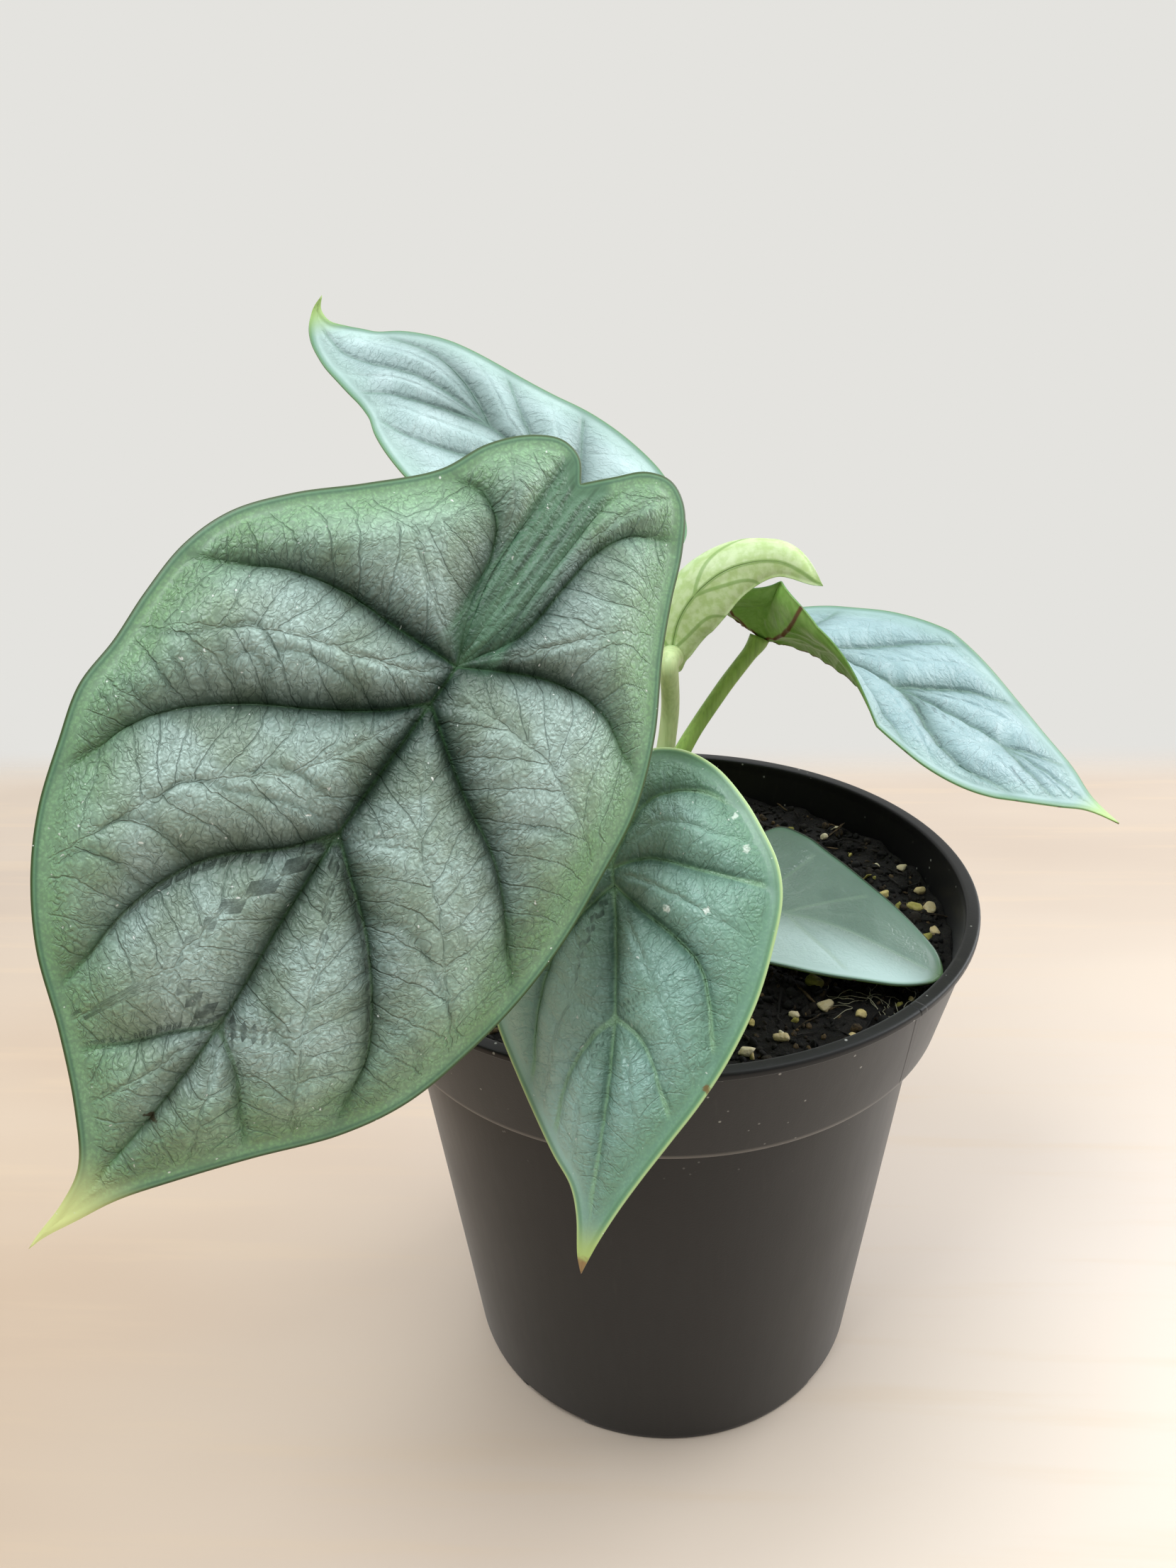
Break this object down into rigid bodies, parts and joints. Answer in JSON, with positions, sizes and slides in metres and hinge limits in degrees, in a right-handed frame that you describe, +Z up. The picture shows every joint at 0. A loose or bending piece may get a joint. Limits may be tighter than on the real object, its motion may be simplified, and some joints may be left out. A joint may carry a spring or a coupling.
{
  "type": "potted silver dragon alocasia",
  "caption": "Young aroid house plant with quilted silver-green arrow-shaped leaves on thin stalks, in a round black nursery pot of peat mix.",
  "frame": {"origin": "middle of the pot's foot, on the face that it stands on", "axes": "+Z up; -Y is the plant's front, where the front leaf hangs over the rim; +X to the viewer's right"},
  "size_m": [0.1597, 0.1552, 0.212],
  "materials": {
    "pot_plastic": "thin black moulded plastic with a soft sheen and a little dust",
    "potting_mix": "dark damp peat and bark crumbs with cream perlite grains",
    "stem": "fleshy pale green stem base with brown scales and roots",
    "large_leaf": "silver-green quilted leaf with dark sunken veins and a green margin",
    "front_leaf": "silver-green quilted leaf with dark sunken veins and a pale edge",
    "pale_leaf": "pale bluish silver leaf, green underneath with red-brown veins",
    "small_leaf": "smooth silver-green small leaf with a dark green edge",
    "young_leaf": "soft yellow-green new leaf with green veins",
    "stalk": "smooth green leaf stalk",
    "young_stalk": "pale green, slightly translucent leaf stalk"
  },
  "bodies": {
    "root": {"nursery_pot": "pot_plastic", "potting_mix": "potting_mix", "stem_base": "stem", "large_leaf_blade": "large_leaf", "large_leaf_stalk": "stalk", "front_leaf_blade": "front_leaf", "front_leaf_stalk": "stalk", "back_leaf_blade": "pale_leaf", "back_leaf_stalk": "stalk", "right_leaf_blade": "pale_leaf", "right_leaf_stalk": "stalk", "small_leaf_blade": "small_leaf", "small_leaf_stalk": "stalk", "young_leaf_blade": "young_leaf", "young_leaf_stalk": "young_stalk"}
  },
  "joints": []
}
